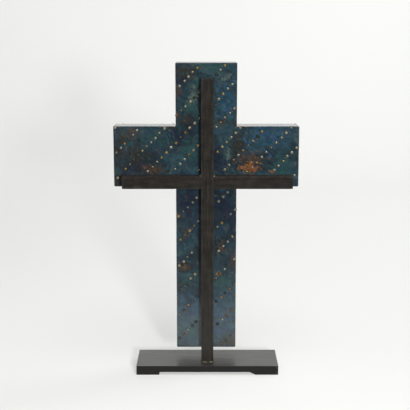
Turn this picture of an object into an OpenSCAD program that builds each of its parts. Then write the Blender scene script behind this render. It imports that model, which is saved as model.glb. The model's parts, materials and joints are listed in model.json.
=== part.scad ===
// Studded iron cross held upright by a table-top display stand.
// Millimetres, +Z up. The origin is on the table, under the middle of the cross,
// in the plane where the back of the cross meets the post.
// -Y is the side that shows the post, +Y the display side.

/* [Cross] */
// Width across both arms
cross_span = 297; // [260:1:340]
// Width of the upright, the same for head and foot
upright_w = 98; // [80:1:110]
// Height of the arms
arm_h = 98; // [80:1:110]
// Height of the head above the arms
head_h = 100; // [80:1:130]
// Length of the foot below the arms
foot_h = 272; // [220:1:320]
// Thickness from the post's side to the display side
cross_t = 36.5; // [32:0.5:38]
// Radius at the outer corners of the outline
corner_r = 2; // [1:0.5:4]
// Clear height between the base and the end of the foot
foot_gap = 18.4; // [10:0.1:30]

/* [Post and crossbars] */
// Side of the square bar that the post and both crossbars are cut from
bar_s = 20; // [16:1:24]
// Height of the post above the base
post_h = 464; // [430:1:480]
// Length of each crossbar from the post's side to its free end
bar_len = 126; // [115:1:130]
// Distance of the stand's middle from the middle of the cross
stand_shift = 1.8; // [0:0.1:4]

/* [Lips under the arms] */
// Thickness of the lip that each arm rests on
lip_t = 3; // [2:0.5:4]
// How far the lip reaches under the arm from the back of the cross
lip_reach = 30; // [22:1:32]
// How far the lip runs in under the crossbar
lip_root = 5; // [3:1:8]
// Clearance between the lip and the side of the foot
lip_clear = 1.5; // [1:0.5:4]
// Distance of the lip's outer end from the crossbar's free end
lip_inset = 1; // [0:0.5:3]

/* [Base] */
// Length of the base plate
base_w = 232; // [200:1:260]
// Depth of the base plate
base_d = 76; // [76:1:100]
// Full height of the base, feet included
base_h = 15.4; // [12:0.1:20]
// Height cut away from the underside between the two feet
cut_h = 4.6; // [4.5:0.1:7]
// Length of the left foot at the table
left_foot_w = 37.4; // [30:0.1:50]
// Length of the right foot at the table
right_foot_w = 37.3; // [30:0.1:50]
// How far the left foot's inner end leans in over the cut height
left_slant = 0.8; // [0:0.1:4]
// How far the right foot's inner end leans in over the cut height
right_slant = 9.5; // [0:0.1:14]

/* [Hidden] */
$fn = 48;
foot_end_z = base_h + foot_gap;
arm_z = foot_end_z + foot_h;
cross_h = foot_h + arm_h + head_h;

// Rectangle with rounded corners, from its lower left corner
module soft_rect(w, h, r) {
    translate([r, 0]) square([w - 2 * r, h]);
    translate([0, r]) square([w, h - 2 * r]);
    for (x = [r, w - r], z = [r, h - r])
        translate([x, z]) circle(r = r);
}

// Stands an outline drawn in X and Z up at the given Y, growing towards +Y
module upright_slab(y, depth) {
    translate([0, y + depth, 0])
        rotate([90, 0, 0])
            linear_extrude(height = depth) children();
}

// The cross: one closed body, upright and arms in one piece
module cross() {
    color([0.17, 0.24, 0.29])
        upright_slab(0, cross_t) {
            translate([-upright_w / 2, foot_end_z])
                soft_rect(upright_w, cross_h, corner_r);
            translate([-cross_span / 2, arm_z])
                soft_rect(cross_span, arm_h, corner_r);
        }
}

// Square post behind the cross, standing on the base
module post() {
    color([0.13, 0.12, 0.11])
        translate([stand_shift - bar_s / 2, -bar_s, base_h])
            cube([bar_s, bar_s, post_h]);
}

// One crossbar with the lip that its arm rests on; side is -1 for left, 1 for right
module crossbar(side) {
    root_x = stand_shift + side * bar_s / 2;
    end_x = root_x + side * bar_len;
    lip_in = side * (upright_w / 2 + lip_clear);
    lip_out = end_x - side * lip_inset;
    color([0.13, 0.12, 0.11]) {
        translate([min(root_x, end_x), -bar_s, arm_z])
            cube([bar_len, bar_s, bar_s]);
        translate([min(lip_in, lip_out), -lip_root, arm_z - lip_t])
            cube([abs(lip_out - lip_in), lip_root + lip_reach, lip_t]);
    }
}

module crossbar_left() {
    crossbar(-1);
}

module crossbar_right() {
    crossbar(1);
}

// Flat base plate, its underside cut away between two feet
module base() {
    half = base_w / 2;
    color([0.16, 0.16, 0.16])
        translate([stand_shift, 0, 0])
            upright_slab(-base_d / 2, base_d)
                polygon([
                    [-half, 0],
                    [-half + left_foot_w, 0],
                    [-half + left_foot_w + left_slant, cut_h],
                    [half - right_foot_w - right_slant, cut_h],
                    [half - right_foot_w, 0],
                    [half, 0],
                    [half, base_h],
                    [-half, base_h]
                ]);
}

cross();
post();
crossbar_left();
crossbar_right();
base();
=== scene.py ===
import json
import math
import random

import bpy
from mathutils import Matrix, Vector

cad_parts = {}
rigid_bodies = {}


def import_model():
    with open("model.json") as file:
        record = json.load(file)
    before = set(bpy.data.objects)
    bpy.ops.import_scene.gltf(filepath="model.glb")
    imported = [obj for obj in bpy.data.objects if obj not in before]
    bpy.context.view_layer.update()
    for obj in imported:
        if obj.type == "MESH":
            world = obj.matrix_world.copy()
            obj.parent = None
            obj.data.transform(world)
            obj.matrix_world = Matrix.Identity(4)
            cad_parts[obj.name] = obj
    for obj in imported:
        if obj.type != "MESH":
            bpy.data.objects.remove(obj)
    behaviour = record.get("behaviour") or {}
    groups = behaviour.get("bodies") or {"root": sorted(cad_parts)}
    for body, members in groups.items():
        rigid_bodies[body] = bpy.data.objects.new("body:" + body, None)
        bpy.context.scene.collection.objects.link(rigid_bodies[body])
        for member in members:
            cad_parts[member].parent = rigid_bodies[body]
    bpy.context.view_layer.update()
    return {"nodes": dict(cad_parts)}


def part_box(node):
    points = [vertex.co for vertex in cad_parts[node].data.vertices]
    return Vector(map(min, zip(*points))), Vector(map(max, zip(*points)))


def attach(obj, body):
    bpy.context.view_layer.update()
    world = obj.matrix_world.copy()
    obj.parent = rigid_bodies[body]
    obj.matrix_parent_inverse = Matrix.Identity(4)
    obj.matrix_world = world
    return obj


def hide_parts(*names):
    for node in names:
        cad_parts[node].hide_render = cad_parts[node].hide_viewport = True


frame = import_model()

millimetre = 0.001
# two places nearer to each other than this touch
touching = 0.1 * millimetre
# two faces whose normals agree better than this lie in one surface
sameFacing = 0.96
# shading runs smoothly over edges flatter than this, in degrees
smoothBelow = 40
# noise mostly keeps between these two values
noiseLow, noiseHigh = 0.3, 0.7
random.seed(19)


# small helpers

def deselectAll():
    bpy.ops.object.select_all(action="DESELECT")


def hexToLinear(code):
    # sRGB hex to the linear values that shaders read
    values = [int(code[i:i + 2], 16) / 255 for i in (1, 3, 5)]
    return tuple(v / 12.92 if v <= 0.04045 else ((v + 0.055) / 1.055) ** 2.4 for v in values) + (1.0,)


def makeActive(piece):
    deselectAll()
    piece.select_set(True)
    bpy.context.view_layer.objects.active = piece


def applyModifier(piece, kind, **settings):
    modifier = piece.modifiers.new(kind.lower(), kind)
    for name, value in settings.items():
        setattr(modifier, name, value)
    makeActive(piece)
    bpy.ops.object.modifier_apply(modifier=modifier.name)


def addBlock(name, low, high):
    # a cube between two corners, its place already in the mesh
    deselectAll()
    bpy.ops.mesh.primitive_cube_add(size=1, location=(Vector(low) + Vector(high)) / 2)
    piece = bpy.context.object
    piece.name = name
    piece.scale = Vector(high) - Vector(low)
    bpy.ops.object.transform_apply(location=True, rotation=True, scale=True)
    return piece


def selectWhere(piece, domain, test):
    # selects the faces or edges that pass the test, in edit mode
    bpy.ops.object.mode_set(mode="OBJECT")
    mesh = piece.data
    for kind in (mesh.vertices, mesh.edges, mesh.polygons):
        for item in kind:
            item.select = False
    for item in (mesh.edges if domain == "EDGE" else mesh.polygons):
        item.select = test(item)
    bpy.ops.object.mode_set(mode="EDIT")
    bpy.ops.mesh.select_mode(type=domain)


def cutAcross(axis, places):
    # plane cuts through everything, for an even grid of faces
    normal = [0, 0, 0]
    normal["xyz".index(axis)] = 1
    for place in places:
        bpy.ops.mesh.select_all(action="SELECT")
        bpy.ops.mesh.bisect(plane_co=[place * n for n in normal], plane_no=normal)


def between(low, high, step):
    # even places from low to high, about a step apart, without the two ends
    count = max(1, round((high - low) / step))
    return [low + (high - low) * i / count for i in range(1, count)]


def addNode(tree, kind, inputs=None, **settings):
    # one node with its settings; an input is a value or another node's output
    node = tree.nodes.new(kind)
    for name, value in settings.items():
        setattr(node, name, value)
    for socket, value in (inputs or {}).items():
        if isinstance(value, bpy.types.NodeSocket):
            tree.links.new(value, node.inputs[socket])
        else:
            node.inputs[socket].default_value = value
    return node


def setRamp(node, stops):
    # colours as hex codes, each with its place along the ramp
    ramp = node.color_ramp
    while len(ramp.elements) < len(stops):
        ramp.elements.new(0.5)
    for element, (place, colour) in zip(ramp.elements, stops):
        element.position = place
        element.color = hexToLinear(colour)
    return node


# camera and stage

cameraView = {"lens": 80, "place": (-0.002, -1.444, 0.567), "downBy": 11.4}

stage = {
    "floorFront": -0.36, "floorBack": 2.6, "halfWidth": 3.2, "wallHeight": 2.4, "curve": 0.9,
    "curveSegments": 24, "floorColour": "#aaaaa8", "glow": "#a8a8a6", "roughness": 0.9, "gloss": 0.1,
    "dimLight": "#464a50", "paleLight": "#f4f4f3",
}

lamps = {
    "frontSoftbox": {
        "place": (0.5, -2.2, 0.65), "size": 0.25, "power": 70, "aim": (0, 0, 0.25), "mirrored": False},
    "topSoftbox": {
        "place": (0.2, -0.7, 1.8), "size": 1.2, "power": 20, "aim": (0.1, -0.3, 0), "mirrored": True},
    "rightFill": {
        "place": (1.1, 0, 1.9), "size": 1.2, "power": 8, "aim": (0.8, 0.4, 0), "mirrored": True},
    "leftFill": {
        "place": (-0.9, -0.3, 1.3), "size": 0.8, "power": 2, "aim": (-0.5, 0, 0), "mirrored": True},
    "sideWash": {
        "place": (1.3, 0.9, 1.9), "size": 1.6, "power": 35, "aim": (-0.3, 2.6, 0.9), "mirrored": True},
    "rightWallWash": {
        "place": (0.9, 2, 1.7), "size": 0.8, "power": 3, "aim": (0.4, 2.6, 1), "mirrored": True},
    "leftWallWash": {
        "place": (-0.9, 2, 1.9), "size": 0.8, "power": 8, "aim": (-0.7, 2.6, 0.5), "mirrored": True},
}

# softboxes for the other sides, linked to the object so that they leave the paper sweep alone
sideLamps = {
    "backSoftbox": {
        "place": (-0.5, 2.2, 0.66), "size": 0.3, "power": 90, "aim": (0, 0, 0.25), "mirrored": False},
    "leftSoftbox": {
        "place": (-1.9, -0.2, 0.7), "size": 0.5, "power": 22, "aim": (0, 0, 0.25), "mirrored": False},
    "rightSoftbox": {
        "place": (1.9, 0.1, 0.7), "size": 0.5, "power": 22, "aim": (0, 0, 0.25), "mirrored": False},
}


def makeCamera():
    data = bpy.data.cameras.new("camera")
    data.lens = cameraView["lens"]
    camera = bpy.data.objects.new("camera", data)
    bpy.context.scene.collection.objects.link(camera)
    camera.location = cameraView["place"]
    camera.rotation_euler = (math.radians(90 - cameraView["downBy"]), 0, 0)
    bpy.context.scene.camera = camera


def makeStage():
    # floor that sweeps up into a wall, like a paper roll; it glows a little, so its shadows stay light
    deselectAll()
    bpy.ops.mesh.primitive_plane_add(size=1)
    sweep = bpy.context.object
    sweep.name = "sweep"
    depth = stage["floorBack"] - stage["floorFront"]
    sweep.scale = (2 * stage["halfWidth"], depth, 1)
    sweep.location.y = (stage["floorBack"] + stage["floorFront"]) / 2
    bpy.ops.object.transform_apply(location=True, rotation=True, scale=True)

    def atBackOfFloor(edge):
        ends = [sweep.data.vertices[v].co for v in edge.vertices]
        return all(p.y > stage["floorBack"] - touching and p.z < touching for p in ends)

    selectWhere(sweep, "EDGE", atBackOfFloor)
    bpy.ops.mesh.extrude_region_move(TRANSFORM_OT_translate={"value": (0, 0, stage["wallHeight"])})
    selectWhere(sweep, "EDGE", atBackOfFloor)
    bpy.ops.mesh.bevel(offset=stage["curve"], segments=stage["curveSegments"])
    bpy.ops.object.mode_set(mode="OBJECT")
    makeActive(sweep)
    bpy.ops.object.shade_smooth()
    paper = bpy.data.materials.new("whitePaperSweep")
    paper.use_nodes = True
    shader = paper.node_tree.nodes["Principled BSDF"]
    shader.inputs["Base Color"].default_value = hexToLinear(stage["floorColour"])
    shader.inputs["Roughness"].default_value = stage["roughness"]
    shader.inputs["Specular IOR Level"].default_value = stage["gloss"]
    shader.inputs["Emission Color"].default_value = hexToLinear(stage["glow"])
    shader.inputs["Emission Strength"].default_value = 1.0
    sweep.data.materials.append(paper)


def makeLamps(wanted, litOnly=None):
    for name, lamp in wanted.items():
        data = bpy.data.lights.new(name, "AREA")
        data.shape = "DISK"
        data.size = lamp["size"]
        data.energy = lamp["power"]
        light = bpy.data.objects.new(name, data)
        bpy.context.scene.collection.objects.link(light)
        light.location = lamp["place"]
        towards = Vector(lamp["aim"]) - Vector(lamp["place"])
        light.rotation_euler = towards.to_track_quat("-Z", "Y").to_euler()
        light.visible_glossy = lamp["mirrored"]
        light.visible_camera = False
        light.light_linking.receiver_collection = litOnly


def makeWorld():
    # pale where the camera looks past the sweep, dim for everything else
    world = bpy.data.worlds.new("studio")
    bpy.context.scene.world = world
    world.use_nodes = True
    tree = world.node_tree
    tree.nodes.clear()
    rays = addNode(tree, "ShaderNodeLightPath")
    dim = addNode(tree, "ShaderNodeBackground", {"Color": hexToLinear(stage["dimLight"])})
    pale = addNode(tree, "ShaderNodeBackground", {"Color": hexToLinear(stage["paleLight"])})
    mix = addNode(tree, "ShaderNodeMixShader", {
        0: rays.outputs["Is Camera Ray"], 1: dim.outputs[0], 2: pale.outputs[0]})
    addNode(tree, "ShaderNodeOutputWorld", {"Surface": mix.outputs[0]})


bpy.context.scene.view_settings.view_transform = "Standard"
makeCamera()
makeStage()
makeLamps(lamps)
makeWorld()
print("stage, lamps and camera are set")


# shared finishing of iron pieces

def shadeSmooth(piece):
    makeActive(piece)
    bpy.ops.object.shade_smooth_by_angle(angle=math.radians(smoothBelow))


def wearDown(piece, depth, size):
    # shallow unevenness of worked iron, only ever inwards
    clouds = bpy.data.textures.new(piece.name + "Wear", "CLOUDS")
    clouds.noise_scale = size * millimetre
    applyModifier(piece, "DISPLACE", texture=clouds, texture_coords="LOCAL",
                  strength=depth * millimetre, mid_level=1.0)


def addMask(piece, name, values):
    mask = piece.data.attributes.new(name, "FLOAT", "POINT")
    mask.data.foreach_set("value", values)


def markArrises(piece, bareAt=None):
    # one on every arris, where rubbing and rust begin, and nothing on the flats or at a butt weld
    mesh = piece.data
    first = [None] * len(mesh.vertices)
    values = [0.0] * len(mesh.vertices)
    for face in mesh.polygons:
        for v in face.vertices:
            if first[v] is None:
                first[v] = face.normal.copy()
            elif first[v].dot(face.normal) < sameFacing:
                values[v] = 1.0
    if bareAt is not None:
        values = [0 if abs(v.co.x - bareAt) < millimetre else a for v, a in zip(mesh.vertices, values)]
    addMask(piece, "arris", values)


def gridOver(piece, step):
    # an even grid of faces, so that unevenness and masks have something to hold
    low, high = piece.bound_box[0], piece.bound_box[6]
    bpy.ops.object.mode_set(mode="EDIT")
    for i, axis in enumerate("xyz"):
        cutAcross(axis, between(low[i], high[i], step * millimetre))
    bpy.ops.mesh.select_all(action="SELECT")
    bpy.ops.mesh.remove_doubles(threshold=touching / 5)
    bpy.ops.mesh.normals_make_consistent(inside=False)
    bpy.ops.object.mode_set(mode="OBJECT")


# cross body

# armsFrom is the share of the half span beyond which only the arms reach
crossBody = {
    "armsFrom": 0.6, "cornerRadius": 2.0, "arrisRadius": 1.1, "roundSegments": 3, "sharpAbove": 50,
    "grid": 3.0, "dentDepth": 0.45, "dentSize": 55.0,
}


def crossLevels():
    # arm heights and upright width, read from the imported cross
    points = [v.co for v in frame["nodes"]["cross"].data.vertices]
    low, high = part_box("cross")
    armHeights = [p.z for p in points if abs(p.x) > high.x * crossBody["armsFrom"]]
    armLow, armHigh = min(armHeights), max(armHeights)
    half = max(abs(p.x) for p in points if p.z > armHigh + millimetre)
    return low, high, armLow, armHigh, half


def makeCross():
    low, high, armLow, armHigh, half = crossLevels()
    piece = addBlock("crossBody", (-half, low.y, low.z), (half, high.y, high.z))
    bpy.ops.object.mode_set(mode="EDIT")
    cutAcross("z", [armLow, armHigh])
    middle = (armLow + armHigh) / 2
    reach = high.x - half
    for side in (-1, 1):
        selectWhere(piece, "FACE", lambda f: (
            f.normal.x * side > sameFacing and abs(f.center.z - middle) < millimetre))
        bpy.ops.mesh.extrude_region_move(TRANSFORM_OT_translate={"value": (side * reach, 0, 0)})
    mesh = piece.data

    def isOuterCorner(edge):
        # runs from face to face at the tip of an arm or the end of the upright
        a, b = (mesh.vertices[v].co for v in edge.vertices)
        atTipOfArm = abs(a.x) > high.x - millimetre
        atEndOfUpright = a.z < low.z + millimetre or a.z > high.z - millimetre
        return abs(a.y - b.y) > millimetre and (atTipOfArm or atEndOfUpright)

    selectWhere(piece, "EDGE", isOuterCorner)
    bpy.ops.mesh.bevel(
        offset=crossBody["cornerRadius"] * millimetre, segments=crossBody["roundSegments"],
        affect="EDGES")
    bpy.ops.object.mode_set(mode="OBJECT")
    applyModifier(piece, "BEVEL", width=crossBody["arrisRadius"] * millimetre,
                  segments=crossBody["roundSegments"],
                  limit_method="ANGLE", angle_limit=math.radians(crossBody["sharpAbove"]))
    gridOver(piece, crossBody["grid"])
    markArrises(piece)
    wearDown(piece, crossBody["dentDepth"], crossBody["dentSize"])
    shadeSmooth(piece)
    paintPatina(piece)
    print("cross body", len(piece.data.polygons), "faces")
    return piece


# broad brushed patches of the patina: kind, middle across and up, half width, half height, in millimetres
postSidePatches = [
    ("olive", -35, 490, 20, 15), ("indigo", -40, 475, 15, 10), ("teal", -20, 475, 15, 10),
    ("teal", 10, 495, 25, 10), ("pale", 30, 480, 15, 10), ("pale", -20, 450, 10, 20),
    ("umber", -45, 460, 10, 10), ("teal", -25, 430, 20, 15), ("olive", -30, 415, 20, 10),
    ("steel", 30, 440, 20, 35), ("olive", 25, 410, 15, 10),
    ("umber", -115, 395, 15, 10), ("olive", -130, 385, 20, 15), ("teal", -80, 380, 20, 10),
    ("olive", -115, 355, 25, 25), ("olive", -140, 360, 15, 30), ("indigo", -125, 340, 20, 15),
    ("olive", -90, 335, 35, 10), ("olive", -145, 320, 10, 20), ("indigo", -135, 315, 15, 15),
    ("umber", -85, 335, 20, 10), ("indigo", -40, 390, 15, 10), ("teal", -25, 365, 15, 20),
    ("indigo", 20, 350, 15, 20), ("pale", 35, 360, 5, 30), ("olive", 50, 370, 15, 20),
    ("rust", 70, 337, 20, 13), ("umber", 75, 350, 25, 15), ("steel", 95, 385, 30, 20),
    ("rust", 105, 330, 5, 5), ("teal", 120, 340, 20, 15), ("pale", 145, 385, 5, 15),
    ("indigo", -25, 280, 20, 30), ("indigo", 30, 265, 20, 25), ("umber", -30, 230, 10, 10),
    ("umber", 25, 205, 10, 10), ("umber", 45, 180, 10, 20), ("olive", -35, 170, 15, 10),
    ("umber", -35, 170, 10, 5), ("rust", 20, 160, 5, 5), ("teal", 10, 150, 40, 15),
    # the steel patches low on the foot are partly the patina's own steel blue and partly a painted
    # reflection of the pale floor in the lacquer
    ("teal", -20, 60, 25, 15), ("steel", 0, 100, 45, 30), ("steel", 30, 70, 25, 25),
    ("steel", -10, 55, 40, 20), ("olive", 40, 45, 15, 10),
]
displaySide = {
    "patches": 110, "widest": 28, "tallest": 22, "smallest": 7,
    "kinds": [
        "teal", "teal", "indigo", "indigo", "steel", "steel",
        "olive", "olive", "umber", "rust", "pale",
    ],
}

# a patch fades out at this many times its half size, and the two faces' patches pass into each other
# between these shares of the thickness
patchReach = 2
facesMeet = (0.375, 0.625)


def scatterPatches():
    # the other face has the same kinds, placed freely
    low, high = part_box("cross")
    patches = []
    for patch in range(displaySide["patches"]):
        x = random.uniform(low.x, high.x) / millimetre
        z = random.uniform(low.z, high.z) / millimetre
        wide = random.uniform(displaySide["smallest"], displaySide["widest"])
        tall = random.uniform(displaySide["smallest"], displaySide["tallest"])
        patches.append((random.choice(displaySide["kinds"]), x, z, wide, tall))
    return patches


def paintPatina(piece):
    # one soft mask for each kind of patch
    low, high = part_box("cross")
    meetLow, meetHigh = facesMeet
    faces = (postSidePatches, scatterPatches())
    points = [v.co / millimetre for v in piece.data.vertices]
    for kind in sorted({patch[0] for patch in postSidePatches}):
        layers = []
        for patches in faces:
            values = [0.0] * len(points)
            for name, x, z, wide, tall in patches:
                if name != kind:
                    continue
                for i, p in enumerate(points):
                    away = ((p.x - x) / wide) ** 2 + ((p.z - z) / tall) ** 2
                    if away < patchReach ** 2:
                        values[i] = max(values[i], math.exp(-away))
            layers.append(values)
        depth = [(p.y * millimetre - low.y) / (high.y - low.y) for p in points]
        through = [min(1.0, max(0.0, (d - meetLow) / (meetHigh - meetLow))) for d in depth]
        addMask(piece, kind, [a * (1 - t) + b * t for a, b, t in zip(*layers, through)])


# stud heads

# below the height dullBelow, dullShare of the heads are made duller: a tone under rustyFrom is darkened,
# and the rest turn rusty
studHead = {
    "radius": 1.7, "height": 1.3, "collar": 2.6, "skirt": 0.9, "segments": 14, "rings": 4,
    "sizeSpread": 0.16, "tilt": 7, "smoothBelow": 50,
    "dullBelow": 170, "dullShare": 0.6, "dullTone": 0.2, "rustyFrom": 0.6,
}

# slanting rows across the whole face: the first passes this far right of the arms' middle, and the rest
# lie evenly to both sides; climb is the rows' angle, and pitch the way from stud to stud
studRows = {
    "first": 10, "spacing": 40, "climb": 46, "pitch": 10.5, "pitchSpread": 0.9, "wobble": 0.7,
    "edge": 2.0, "tip": 3.3,
}


def studPlaces():
    low, high, armLow, armHigh, half = crossLevels()
    centre = (armLow + armHigh) / 2
    climb = math.radians(studRows["climb"])
    along = Vector((math.cos(climb), 0, math.sin(climb)))
    # studs come close to the inner edges, but stay whole at the tips
    margin, tip = studRows["edge"] * millimetre, studRows["tip"] * millimetre
    wobble = studRows["wobble"] * millimetre
    length = (high - low).length
    rows = math.ceil(length / (studRows["spacing"] * millimetre))
    places = []
    for row in range(-rows, rows + 1):
        pitch = (studRows["pitch"] + random.uniform(-1, 1) * studRows["pitchSpread"]) * millimetre
        crossing = Vector(((studRows["first"] + row * studRows["spacing"]) * millimetre, 0, centre))
        way = random.random() * pitch - length
        while way < length:
            p = crossing + along * way
            x = p.x + random.uniform(-1, 1) * wobble
            z = p.z + random.uniform(-1, 1) * wobble
            inUpright = abs(x) < half - margin and low.z + tip < z < high.z - tip
            inArms = abs(x) < high.x - tip and armLow + margin < z < armHigh - margin
            if inUpright or inArms:
                places.append((x, z))
            way += pitch
    return places


def makeStud():
    # one domed head with a thin collar, its top towards -Y, centred on the origin
    radius, height, collar = (studHead[k] * millimetre for k in ("radius", "height", "collar"))
    deselectAll()
    bpy.ops.mesh.primitive_uv_sphere_add(
        segments=studHead["segments"], ring_count=2 * studHead["rings"], radius=1)
    stud = bpy.context.object
    stud.name = "studHead"
    bpy.ops.object.mode_set(mode="EDIT")
    bpy.ops.mesh.select_all(action="SELECT")
    bpy.ops.mesh.bisect(plane_co=(0, 0, 0), plane_no=(0, 0, 1), clear_inner=True)
    bpy.ops.object.mode_set(mode="OBJECT")
    stud.scale = (radius, radius, height)
    bpy.ops.object.transform_apply(location=True, rotation=True, scale=True)
    # the open rim runs out into the collar, then down into the face
    selectWhere(stud, "EDGE", lambda e: all(
        stud.data.vertices[v].co.z < touching for v in e.vertices))
    bpy.ops.mesh.extrude_region_move(TRANSFORM_OT_translate={"value": (0, 0, 0)})
    bpy.ops.transform.resize(value=(collar / radius,) * 2 + (1,), center_override=(0, 0, 0))
    sink = (0, 0, -studHead["skirt"] * millimetre)
    bpy.ops.mesh.extrude_region_move(TRANSFORM_OT_translate={"value": sink})
    bpy.ops.mesh.edge_face_add()
    bpy.ops.mesh.select_all(action="SELECT")
    bpy.ops.mesh.normals_make_consistent(inside=False)
    bpy.ops.object.mode_set(mode="OBJECT")
    stud.rotation_euler = (math.radians(90), 0, 0)
    bpy.ops.object.transform_apply(location=True, rotation=True, scale=True)
    outward = [math.hypot(v.co.x, v.co.z) for v in stud.data.vertices]
    addMask(stud, "rim", [1.0 if r > (radius + collar) / 2 else 0.0 for r in outward])
    return stud


def placeStuds(name, pattern, places, faceY, turned):
    # copies of the pattern, each with its own mesh, tone and tilt, joined as one piece
    copies = []
    turn = Matrix.Rotation(math.pi if turned else 0, 4, "Z")
    for x, z in places:
        copy = pattern.copy()
        copy.data = pattern.data.copy()
        bpy.context.scene.collection.objects.link(copy)
        size = 1 + random.uniform(-1, 1) * studHead["sizeSpread"]
        leanUp, leanAside = (math.radians(random.uniform(-1, 1) * studHead["tilt"]) for way in "XZ")
        tilt = Matrix.Rotation(leanUp, 4, "X") @ Matrix.Rotation(leanAside, 4, "Z")
        spin = Matrix.Rotation(random.uniform(0, math.tau), 4, "Y")
        grow = Matrix.Diagonal((size, 1, size, 1))
        copy.data.transform(Matrix.Translation((x, faceY, z)) @ turn @ tilt @ spin @ grow)
        tone = random.random()
        if z < studHead["dullBelow"] * millimetre and random.random() < studHead["dullShare"]:
            tone = tone * studHead["dullTone"] if tone < studHead["rustyFrom"] else 1.0
        addMask(copy, "tone", [tone] * len(copy.data.vertices))
        copies.append(copy)
    deselectAll()
    for copy in copies:
        copy.select_set(True)
    bpy.context.view_layer.objects.active = copies[0]
    bpy.ops.object.join()
    piece = bpy.context.object
    piece.name = name
    bpy.ops.object.shade_smooth_by_angle(angle=math.radians(studHead["smoothBelow"]))
    print(name, len(places), "studs")
    return piece


def clearOfStand(x, z):
    # studs under the post and crossbars are left out, where the bars lie on the face
    gap = studHead["collar"] * millimetre
    for node in ("post", "crossbar_left", "crossbar_right"):
        low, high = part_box(node)
        if low.x - gap < x < high.x + gap and low.z - gap < z < high.z + gap:
            return False
    return True


def makeStuds():
    low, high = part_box("cross")
    pattern = makeStud()
    places = studPlaces()
    near = [p for p in places if clearOfStand(*p)]
    far = [(-x, z) for x, z in places]
    pieces = [placeStuds("studsPostSide", pattern, near, low.y, False),
              placeStuds("studsDisplaySide", pattern, far, high.y, True)]
    bpy.data.objects.remove(pattern)
    return pieces


# stand

standIron = {"arris": 0.4, "segments": 2, "grid": 6.0, "unevenDepth": 0.2, "unevenSize": 28.0}


def sharpEdges(piece):
    normals = {}
    for face in piece.data.polygons:
        for key in face.edge_keys:
            normals.setdefault(key, []).append(face.normal.copy())
    return {key for key, pair in normals.items() if pair[0].dot(pair[-1]) < sameFacing}


def finishIron(piece, buttAt=None):
    # eased arrises, then a little unevenness; the end welded flush to its neighbour stays sharp
    mesh = piece.data
    sharp = sharpEdges(piece)

    def atButt(vertex):
        return buttAt is not None and abs(mesh.vertices[vertex].co.x - buttAt) < touching

    selectWhere(piece, "EDGE", lambda e: e.key in sharp and not all(atButt(v) for v in e.vertices))
    bpy.ops.mesh.bevel(
        offset=standIron["arris"] * millimetre, segments=standIron["segments"], affect="EDGES")
    bpy.ops.object.mode_set(mode="OBJECT")
    makeActive(piece)
    gridOver(piece, standIron["grid"])
    markArrises(piece, bareAt=buttAt)
    wearDown(piece, standIron["unevenDepth"], standIron["unevenSize"])
    shadeSmooth(piece)
    applyModifier(piece, "WEIGHTED_NORMAL", keep_sharp=True, weight=100)


def makeBar(name, node):
    piece = addBlock(name, *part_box(node))
    finishIron(piece)
    print(name, len(piece.data.polygons), "faces")
    return piece


def makeCrossbar(name, node, buttAt):
    # square bar with the thin lip that its arm rests on, drawn out of the bar's underside
    low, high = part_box(node)
    points = [v.co for v in frame["nodes"][node].data.vertices]
    barLow = min(p.z for p in points if p.y < low.y + millimetre)
    lipPoints = [p for p in points if p.z < barLow - millimetre]
    lipLow = Vector(min(p[i] for p in lipPoints) for i in range(3))
    lipHigh = Vector((max(p.x for p in lipPoints), high.y, barLow))
    bar = addBlock(name, (low.x, low.y, barLow), (high.x, 0, high.z))
    finishIron(bar, buttAt)
    lip = addBlock(name + "Lip", lipLow, lipHigh)
    finishIron(lip)
    deselectAll()
    lip.select_set(True)
    bar.select_set(True)
    bpy.context.view_layer.objects.active = bar
    bpy.ops.object.join()
    print(name, len(bar.data.polygons), "faces")
    return bar


def makeBase():
    # plate drawn down into two feet, whose inner ends were cut at a slant
    low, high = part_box("base")
    points = [v.co for v in frame["nodes"]["base"].data.vertices]
    under = min(p.z for p in points if p.z > low.z + millimetre)
    middle = (low.x + high.x) / 2
    piece = addBlock("basePlate", (low.x, low.y, under), high)
    ends = {
        -1: [max(p.x for p in points if p.x < middle and abs(p.z - z) < touching) for z in (under, low.z)],
        1: [min(p.x for p in points if p.x > middle and abs(p.z - z) < touching) for z in (under, low.z)],
    }
    bpy.ops.object.mode_set(mode="EDIT")
    cutAcross("x", [ends[-1][0], ends[1][0]])
    for side, (atPlate, atFloor) in ends.items():
        selectWhere(piece, "FACE", lambda f: (
            f.normal.z < -sameFacing and (f.center.x - atPlate) * side > 0))
        bpy.ops.mesh.extrude_region_move(TRANSFORM_OT_translate={"value": (0, 0, low.z - under)})
        selectWhere(piece, "EDGE", lambda e: all(
            abs(piece.data.vertices[v].co.x - atPlate) < touching
            and piece.data.vertices[v].co.z < low.z + touching for v in e.vertices))
        bpy.ops.transform.translate(value=(atFloor - atPlate, 0, 0))
    bpy.ops.object.mode_set(mode="OBJECT")
    finishIron(piece)
    print("base plate", len(piece.data.polygons), "faces")
    return piece


# weld beads

weldBead = {
    "ripple": 1.7, "sizes": (0.8, 1.1), "flat": 0.75, "step": 1.9, "stray": 0.5,
    "voxel": 0.4, "melted": 0.5, "out": 0.5, "inset": 2.0,
}


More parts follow.
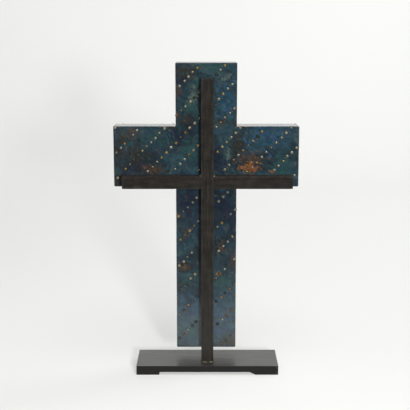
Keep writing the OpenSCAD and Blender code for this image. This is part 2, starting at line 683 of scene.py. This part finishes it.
def makeBead(name, runs):
    # overlapping ripples along each run, melted into one skin
    deselectAll()
    bpy.ops.mesh.primitive_ico_sphere_add(subdivisions=2, radius=weldBead["ripple"] * millimetre)
    pattern = bpy.context.object
    ripples = []
    for start, end in runs:
        start, end = Vector(start), Vector(end)
        count = round((end - start).length / (weldBead["step"] * millimetre))
        for i in range(count + 1):
            ripple = pattern.copy()
            ripple.data = pattern.data.copy()
            bpy.context.scene.collection.objects.link(ripple)
            stray = Vector(random.uniform(-1, 1) for axis in range(3)) * weldBead["stray"] * millimetre
            size = random.uniform(*weldBead["sizes"])
            shape = Matrix.Diagonal((size, size, size * weldBead["flat"], 1))
            ripple.data.transform(Matrix.Translation(start.lerp(end, i / count) + stray) @ shape)
            ripples.append(ripple)
    bpy.data.objects.remove(pattern)
    deselectAll()
    for ripple in ripples:
        ripple.select_set(True)
    bpy.context.view_layer.objects.active = ripples[0]
    bpy.ops.object.join()
    piece = bpy.context.object
    piece.name = name
    applyModifier(piece, "REMESH", mode="VOXEL", voxel_size=weldBead["voxel"] * millimetre)
    applyModifier(piece, "SMOOTH", factor=weldBead["melted"], iterations=2)
    makeActive(piece)
    bpy.ops.object.shade_smooth()
    print(name, len(piece.data.polygons), "faces")
    return piece


def makeWelds():
    low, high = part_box("post")
    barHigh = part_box("crossbar_left")[1].z
    out, inset = weldBead["out"] * millimetre, weldBead["inset"] * millimetre
    foot = [
        ((low.x + inset, y, low.z), (high.x - inset, y, low.z)) for y in (low.y - out, high.y + out)]
    bars = [
        ((x, low.y + inset, barHigh), (x, high.y - inset, barHigh)) for x in (low.x - out, high.x + out)]
    return [makeBead("weldPostFoot", foot), makeBead("weldCrossbars", bars)]


# materials

def startMaterial(name):
    material = bpy.data.materials.new(name)
    material.use_nodes = True
    tree = material.node_tree
    tree.nodes.clear()
    place = addNode(tree, "ShaderNodeTexCoord").outputs["Object"]
    return material, tree, place


# cold patina brushed on sheet iron, then lacquered. Sizes are in millimetres; swirl is how wide the brush's
# turns are and how far they carry. Each drift and shade is the change at the noise's low and high end.
# Flecks come where the streaks pass fleckStart, and rust where arris mask and streaks add up past rustStart
patina = {
    "clouds": 46, "streaks": 9, "mottle": 5, "grit": 1.6, "hue": 12, "swirl": (60, 42),
    "strokeLength": 13, "strokeWidth": 2.2, "strokeWay": 35, "raggedness": 3.8,
    "ground": [(0.3, "#10181c"), (0.45, "#18262c"), (0.6, "#20343c"), (0.75, "#2c3c38")],
    "fleck": "#4c3624", "fleckStart": 0.6, "fleckFull": 0.75, "fleckHides": 0.65,
    "arrisRust": "#6a4426", "rustStart": 1.42, "rustFull": 1.58, "rustHides": 0.9,
    "hueDrift": (0.468, 0.532), "strengthDrift": (1.3, 0.7),
    "cloudShade": (0.7, 1.3), "brushShade": (0.65, 1.35),
    "roughness": (0.3, 0.48), "relief": 0.3, "lacquerRoughness": 0.2, "lacquerIor": 1.5,
}

# colour, size of the ragged cloud that breaks the patch up, how much the brush strokes tell, how thick
# cloud, strokes and patch must be together for it to start and to cover, and how far it hides the ground
patinaLayers = {
    "steel": {"colour": "#1d3645", "ragged": 14, "brushed": 2.2, "start": 3.25, "full": 3.95, "hides": 1},
    "teal": {"colour": "#1d3536", "ragged": 11, "brushed": 2.2, "start": 3.2, "full": 3.9, "hides": 1},
    "indigo": {"colour": "#141c28", "ragged": 14, "brushed": 2.2, "start": 3.25, "full": 3.8, "hides": 1},
    "olive": {"colour": "#221f18", "ragged": 6, "brushed": 2.0, "start": 3.2, "full": 4.0, "hides": 0.85},
    "umber": {"colour": "#3f2c1d", "ragged": 5, "brushed": 1.6, "start": 3.1, "full": 3.8, "hides": 0.7},
    "pale": {"colour": "#3d4844", "ragged": 8, "brushed": 2.2, "start": 3.4, "full": 4.3, "hides": 1},
    "rust": {"colour": "#664221", "ragged": 5, "brushed": 1.0, "start": 2.95, "full": 3.4, "hides": 0.95},
}


def makePatina():
    # the lacquer gives one soft even gloss over everything, and the colour under it drifts from navy to
    # steel blue and teal, olive where it is thin and orange where the iron rusted through
    material, tree, place = startMaterial("lacqueredBluePatina")
    turns, carry = patina["swirl"]
    swirl = addNode(tree, "ShaderNodeTexNoise", {
        "Vector": place, "Scale": 1 / (turns * millimetre), "Detail": 2})
    evenly = addNode(tree, "ShaderNodeVectorMath", {
        0: swirl.outputs["Color"], 1: (0.5, 0.5, 0.5)}, operation="SUBTRACT")
    bent = addNode(tree, "ShaderNodeVectorMath", {
        0: evenly.outputs[0], 1: (carry * millimetre,) * 3, 2: place}, operation="MULTIPLY_ADD")
    strokeLong, strokeWide = patina["strokeLength"] * millimetre, patina["strokeWidth"] * millimetre
    strokeWay = addNode(tree, "ShaderNodeMapping", {
        "Vector": bent.outputs[0], "Rotation": (0, math.radians(patina["strokeWay"]), 0),
        "Scale": (strokeLong, strokeWide, strokeWide)}, vector_type="TEXTURE")
    strokes = addNode(tree, "ShaderNodeTexNoise", {
        "Vector": strokeWay.outputs[0], "Scale": 1, "Detail": 4, "Roughness": 0.62})
    mottle = addNode(tree, "ShaderNodeTexNoise", {
        "Vector": place, "Scale": 1 / (patina["mottle"] * millimetre), "Detail": 4, "Roughness": 0.65})
    streaks = addNode(tree, "ShaderNodeTexNoise", {
        "Vector": bent.outputs[0], "Scale": 1 / (patina["streaks"] * millimetre), "Detail": 5,
        "Roughness": 0.65, "Distortion": 0.5})
    grit = addNode(tree, "ShaderNodeTexNoise", {
        "Vector": place, "Scale": 1 / (patina["grit"] * millimetre), "Detail": 2, "Roughness": 0.7})
    clouds = addNode(tree, "ShaderNodeTexNoise", {
        "Vector": bent.outputs[0], "Scale": 1 / (patina["clouds"] * millimetre), "Detail": 6,
        "Roughness": 0.6, "Distortion": 0.5})
    ground = setRamp(addNode(tree, "ShaderNodeValToRGB", {"Fac": clouds.outputs["Fac"]}), patina["ground"])
    colour = ground.outputs["Color"]
    for number, (kind, layer) in enumerate(patinaLayers.items()):
        painted = addNode(tree, "ShaderNodeAttribute", attribute_name=kind)
        ragged = addNode(tree, "ShaderNodeTexNoise", {
            "Vector": bent.outputs[0], "W": 3.7 * (number + 1), "Detail": 5, "Roughness": 0.68,
            "Scale": 1 / (layer["ragged"] * millimetre), "Distortion": 0.4}, noise_dimensions="4D")
        brushedOn = addNode(tree, "ShaderNodeMath", {
            0: strokes.outputs["Fac"], 1: layer["brushed"], 2: painted.outputs["Fac"]},
            operation="MULTIPLY_ADD")
        height = addNode(tree, "ShaderNodeMath", {
            0: ragged.outputs["Fac"], 1: patina["raggedness"], 2: brushedOn.outputs[0]},
            operation="MULTIPLY_ADD")
        cover = addNode(tree, "ShaderNodeMapRange", {
            "Value": height.outputs[0], "From Min": layer["start"], "From Max": layer["full"],
            "To Max": layer["hides"]}, interpolation_type="SMOOTHSTEP")
        mix = addNode(tree, "ShaderNodeMix", {
            0: cover.outputs[0], 6: colour, 7: hexToLinear(layer["colour"])}, data_type="RGBA")
        colour = mix.outputs[2]
    # rusty flecks, and rust along the arrises where the lacquer rubbed through
    flecks = addNode(tree, "ShaderNodeMapRange", {
        "Value": streaks.outputs["Fac"], "From Min": patina["fleckStart"],
        "From Max": patina["fleckFull"], "To Max": patina["fleckHides"]})
    speckled = addNode(tree, "ShaderNodeMix", {
        0: flecks.outputs[0], 6: colour, 7: hexToLinear(patina["fleck"])}, data_type="RGBA")
    arris = addNode(tree, "ShaderNodeAttribute", attribute_name="arris")
    rubbed = addNode(tree, "ShaderNodeMath", {
        0: arris.outputs["Fac"], 1: streaks.outputs["Fac"]}, operation="ADD")
    rubbedCover = addNode(tree, "ShaderNodeMapRange", {
        "Value": rubbed.outputs[0], "From Min": patina["rustStart"],
        "From Max": patina["rustFull"], "To Max": patina["rustHides"]})
    worn = addNode(tree, "ShaderNodeMix", {
        0: rubbedCover.outputs[0], 6: speckled.outputs[2], 7: hexToLinear(patina["arrisRust"])},
        data_type="RGBA")
    # hue, strength and depth of the colour all drift, as a hand-brushed chemical patina does
    hueLow, hueHigh = patina["hueDrift"]
    strengthLow, strengthHigh = patina["strengthDrift"]
    cloudLow, cloudHigh = patina["cloudShade"]
    brushLow, brushHigh = patina["brushShade"]
    smooth, rough = patina["roughness"]
    hueClouds = addNode(tree, "ShaderNodeTexNoise", {
        "Vector": bent.outputs[0], "Scale": 1 / (patina["hue"] * millimetre), "Detail": 4,
        "Roughness": 0.65})
    hue = addNode(tree, "ShaderNodeMapRange", {
        "Value": hueClouds.outputs["Fac"], "From Min": noiseLow, "From Max": noiseHigh,
        "To Min": hueLow, "To Max": hueHigh})
    strength = addNode(tree, "ShaderNodeMapRange", {
        "Value": mottle.outputs["Fac"], "From Min": noiseLow, "From Max": noiseHigh,
        "To Min": strengthLow, "To Max": strengthHigh})
    cloudShade = addNode(tree, "ShaderNodeMapRange", {
        "Value": streaks.outputs["Fac"], "From Min": noiseLow, "From Max": noiseHigh,
        "To Min": cloudLow, "To Max": cloudHigh})
    brushShade = addNode(tree, "ShaderNodeMapRange", {
        "Value": strokes.outputs["Fac"], "From Min": noiseLow, "From Max": noiseHigh,
        "To Min": brushLow, "To Max": brushHigh})
    depth = addNode(tree, "ShaderNodeMath", {
        0: cloudShade.outputs[0], 1: brushShade.outputs[0]}, operation="MULTIPLY")
    drifted = addNode(tree, "ShaderNodeHueSaturation", {
        "Hue": hue.outputs[0], "Saturation": strength.outputs[0], "Value": depth.outputs[0],
        "Color": worn.outputs[2]})
    roughness = addNode(tree, "ShaderNodeMapRange", {
        "Value": mottle.outputs["Fac"], "From Min": noiseLow, "From Max": noiseHigh,
        "To Min": smooth, "To Max": rough})
    relief = addNode(tree, "ShaderNodeMath", {
        0: strokes.outputs["Fac"], 1: grit.outputs["Fac"]}, operation="ADD")
    bump = addNode(tree, "ShaderNodeBump", {
        "Height": relief.outputs[0], "Strength": 0.3, "Distance": patina["relief"] * millimetre})
    shader = addNode(tree, "ShaderNodeBsdfPrincipled", {
        "Base Color": drifted.outputs[0], "Roughness": roughness.outputs[0], "IOR": 1.5,
        "Normal": bump.outputs[0], "Coat Weight": 1.0,
        "Coat Roughness": patina["lacquerRoughness"], "Coat IOR": patina["lacquerIor"]})
    addNode(tree, "ShaderNodeOutputMaterial", {"Surface": shader.outputs[0]})
    return material


studMetal = {
    "tones": [(0.0, "#3f423b"), (0.25, "#777a70"), (0.5, "#aba896"), (0.8, "#a3946e"), (1.0, "#80613c")],
    "collar": "#1d1a17", "roughness": 0.36, "metallic": 0.75, "pits": 0.9, "pitDepth": 0.2,
}


def makeStudMetal():
    # hammered steel nail heads, some still bright, some brassy with old lacquer or dull with rust: each
    # takes one tone, and the collar round it is dark: dirt, and painted shade where the head meets the face
    material, tree, place = startMaterial("hammeredNailHeads")
    tone = addNode(tree, "ShaderNodeAttribute", attribute_name="tone")
    ramp = setRamp(addNode(tree, "ShaderNodeValToRGB", {"Fac": tone.outputs["Fac"]}), studMetal["tones"])
    rim = addNode(tree, "ShaderNodeAttribute", attribute_name="rim")
    # the dark collar colour is dirt and painted contact shade round the foot of each head
    dirtAndShade = addNode(tree, "ShaderNodeMix", {
        0: rim.outputs["Fac"], 6: ramp.outputs["Color"], 7: hexToLinear(studMetal["collar"])},
        data_type="RGBA")
    pits = addNode(tree, "ShaderNodeTexNoise", {
        "Vector": place, "Scale": 1 / (studMetal["pits"] * millimetre), "Detail": 2, "Roughness": 0.6})
    bump = addNode(tree, "ShaderNodeBump", {
        "Height": pits.outputs["Fac"], "Strength": 0.35, "Distance": studMetal["pitDepth"] * millimetre})
    shader = addNode(tree, "ShaderNodeBsdfPrincipled", {
        "Base Color": dirtAndShade.outputs[2], "Roughness": studMetal["roughness"],
        "Metallic": studMetal["metallic"], "Normal": bump.outputs[0]})
    addNode(tree, "ShaderNodeOutputMaterial", {"Surface": shader.outputs[0]})
    return material


blackenedIron = {
    "tones": [(0.28, "#100f0e"), (0.5, "#1e1c19"), (0.7, "#302c27")],
    "arris": "#2d2a25", "rubStart": 1.25, "rubFull": 1.7, "rubHides": 0.8,
    "streakWidth": 1.5, "streakLength": 40, "streakDepth": 0.15, "blotch": 12, "blotchShare": 0.35,
    "roughness": (0.4, 0.6), "gloss": 0.3,
}


def makeBlackenedBar(name, along):
    # drawn bar, blackened and waxed: matt and warm, with paler rubbed arrises. The drawing streaks along it
    # are finer on a real bar, and are as coarse as they need to be to show
    material, tree, place = startMaterial(name)
    stretch = [1 / (blackenedIron["streakWidth"] * millimetre)] * 3
    stretch["xyz".index(along)] = 1 / (blackenedIron["streakLength"] * millimetre)
    drawn = addNode(tree, "ShaderNodeMapping", {"Vector": place, "Scale": stretch})
    streaks = addNode(tree, "ShaderNodeTexNoise", {
        "Vector": drawn.outputs[0], "Scale": 1, "Detail": 4, "Roughness": 0.65})
    blotches = addNode(tree, "ShaderNodeTexNoise", {
        "Vector": place, "Scale": 1 / (blackenedIron["blotch"] * millimetre), "Detail": 5,
        "Roughness": 0.6})
    grain = addNode(tree, "ShaderNodeMix", {
        0: blackenedIron["blotchShare"], 2: streaks.outputs["Fac"], 3: blotches.outputs["Fac"]},
        data_type="FLOAT")
    ramp = setRamp(addNode(tree, "ShaderNodeValToRGB", {"Fac": grain.outputs[0]}), blackenedIron["tones"])
    arris = addNode(tree, "ShaderNodeAttribute", attribute_name="arris")
    rubbed = addNode(tree, "ShaderNodeMath", {
        0: arris.outputs["Fac"], 1: blotches.outputs["Fac"]}, operation="ADD")
    cover = addNode(tree, "ShaderNodeMapRange", {
        "Value": rubbed.outputs[0], "From Min": blackenedIron["rubStart"],
        "From Max": blackenedIron["rubFull"], "To Max": blackenedIron["rubHides"]})
    worn = addNode(tree, "ShaderNodeMix", {
        0: cover.outputs[0], 6: ramp.outputs["Color"], 7: hexToLinear(blackenedIron["arris"])},
        data_type="RGBA")
    smooth, rough = blackenedIron["roughness"]
    roughness = addNode(tree, "ShaderNodeMapRange", {
        "Value": blotches.outputs["Fac"], "From Min": noiseLow, "From Max": noiseHigh,
        "To Min": smooth, "To Max": rough})
    bump = addNode(tree, "ShaderNodeBump", {
        "Height": streaks.outputs["Fac"], "Strength": 0.4,
        "Distance": blackenedIron["streakDepth"] * millimetre})
    shader = addNode(tree, "ShaderNodeBsdfPrincipled", {
        "Base Color": worn.outputs[2], "Roughness": roughness.outputs[0], "Normal": bump.outputs[0],
        "Specular IOR Level": blackenedIron["gloss"]})
    addNode(tree, "ShaderNodeOutputMaterial", {"Surface": shader.outputs[0]})
    return material


basePaint = {
    "streakWidth": 2.2, "streakLength": 60, "streakDepth": 0.1,
    "face": {
        "tones": [(0.3, "#161615"), (0.55, "#242422"), (0.75, "#322f2a")],
        "roughness": (0.28, 0.46), "gloss": 1.0},
    # the edges' darker, matter tones are painted shade on the plate's upright faces
    "edge": {
        "tones": [(0.3, "#0b0b0b"), (0.6, "#131211"), (0.8, "#1e1a17")],
        "roughness": (0.4, 0.6), "gloss": 0.3},
    "arris": "#3c3a37", "arrisHides": 0.4,
}


def makeBasePaint(name, finish):
    # black stoving paint: rubbed to a satin on the plate's faces, where it mirrors the pale wall behind
    # through wiping marks; on the upright edges a darker, matter copy of it is painted shade
    material, tree, place = startMaterial(name)
    wide, long = (1 / (basePaint[k] * millimetre) for k in ("streakWidth", "streakLength"))
    wiped = addNode(tree, "ShaderNodeMapping", {"Vector": place, "Scale": (long, wide, wide)})
    streaks = addNode(tree, "ShaderNodeTexNoise", {
        "Vector": wiped.outputs[0], "Scale": 1, "Detail": 4, "Roughness": 0.6, "Distortion": 0.3})
    ramp = setRamp(addNode(tree, "ShaderNodeValToRGB", {"Fac": streaks.outputs["Fac"]}), finish["tones"])
    arris = addNode(tree, "ShaderNodeAttribute", attribute_name="arris")
    cover = addNode(tree, "ShaderNodeMapRange", {
        "Value": arris.outputs["Fac"], "From Min": 0.9, "From Max": 1, "To Max": basePaint["arrisHides"]})
    worn = addNode(tree, "ShaderNodeMix", {
        0: cover.outputs[0], 6: ramp.outputs["Color"], 7: hexToLinear(basePaint["arris"])},
        data_type="RGBA")
    smooth, rough = finish["roughness"]
    roughness = addNode(tree, "ShaderNodeMapRange", {
        "Value": streaks.outputs["Fac"], "From Min": 0.35, "From Max": 0.65,
        "To Min": smooth, "To Max": rough})
    bump = addNode(tree, "ShaderNodeBump", {
        "Height": streaks.outputs["Fac"], "Strength": 0.2,
        "Distance": basePaint["streakDepth"] * millimetre})
    shader = addNode(tree, "ShaderNodeBsdfPrincipled", {
        "Base Color": worn.outputs[2], "Roughness": roughness.outputs[0], "Normal": bump.outputs[0],
        "Specular IOR Level": finish["gloss"]})
    addNode(tree, "ShaderNodeOutputMaterial", {"Surface": shader.outputs[0]})
    return material


def dressEdges(piece, material):
    # the plate's upright edges take a darker second copy of the paint, which is painted shade
    piece.data.materials.append(material)
    for face in piece.data.polygons:
        if abs(face.normal.z) < 0.5:
            face.material_index = 1


weldMetal = {
    "tones": [(0.35, "#1d1a15"), (0.5, "#4c4738"), (0.68, "#7d7862")], "grain": 3.5,
    "roughness": 0.42, "metallic": 0.5,
}


def makeWeldMetal():
    # weld bead left as it cooled, wire-brushed: brighter than the bars and straw-brown in its hollows
    material, tree, place = startMaterial("brushedWeldBead")
    grain = addNode(tree, "ShaderNodeTexNoise", {
        "Vector": place, "Scale": 1 / (weldMetal["grain"] * millimetre), "Detail": 3, "Roughness": 0.6})
    ramp = setRamp(addNode(tree, "ShaderNodeValToRGB", {"Fac": grain.outputs["Fac"]}), weldMetal["tones"])
    shader = addNode(tree, "ShaderNodeBsdfPrincipled", {
        "Base Color": ramp.outputs["Color"], "Roughness": weldMetal["roughness"],
        "Metallic": weldMetal["metallic"]})
    addNode(tree, "ShaderNodeOutputMaterial", {"Surface": shader.outputs[0]})
    return material


def dress(piece, material, slot, *nodes):
    piece.data.materials.clear()
    piece.data.materials.append(material)
    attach(piece, "root")
    if nodes:
        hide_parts(*nodes)


dress(makeCross(), makePatina(), "patinated_iron", "cross")
studFinish = makeStudMetal()
for studs in makeStuds():
    dress(studs, studFinish, "stud_heads")
dress(makeBar("postBar", "post"), makeBlackenedBar("blackenedPost", "z"), "blackened_bar", "post")
barFinish = makeBlackenedBar("blackenedCrossbar", "x")
postLow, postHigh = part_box("post")
crossbarLeft = makeCrossbar("crossbarLeft", "crossbar_left", postLow.x)
crossbarRight = makeCrossbar("crossbarRight", "crossbar_right", postHigh.x)
dress(crossbarLeft, barFinish, "blackened_bar", "crossbar_left")
dress(crossbarRight, barFinish, "blackened_bar", "crossbar_right")
basePlate = makeBase()
dress(basePlate, makeBasePaint("wipedBlackStovingPaint", basePaint["face"]), "black_base", "base")
# the upright edges get the darker copy of the paint: painted shade
dressEdges(basePlate, makeBasePaint("blackEdgeWithPaintedShade", basePaint["edge"]))
weldFinish = makeWeldMetal()
for weld in makeWelds():
    dress(weld, weldFinish, "blackened_bar")
print("all pieces made")

litPieces = bpy.data.collections.new("litPieces")
for piece in bpy.context.scene.objects:
    if piece.type == "MESH" and piece.name != "sweep":
        litPieces.objects.link(piece)
makeLamps(sideLamps, litPieces)
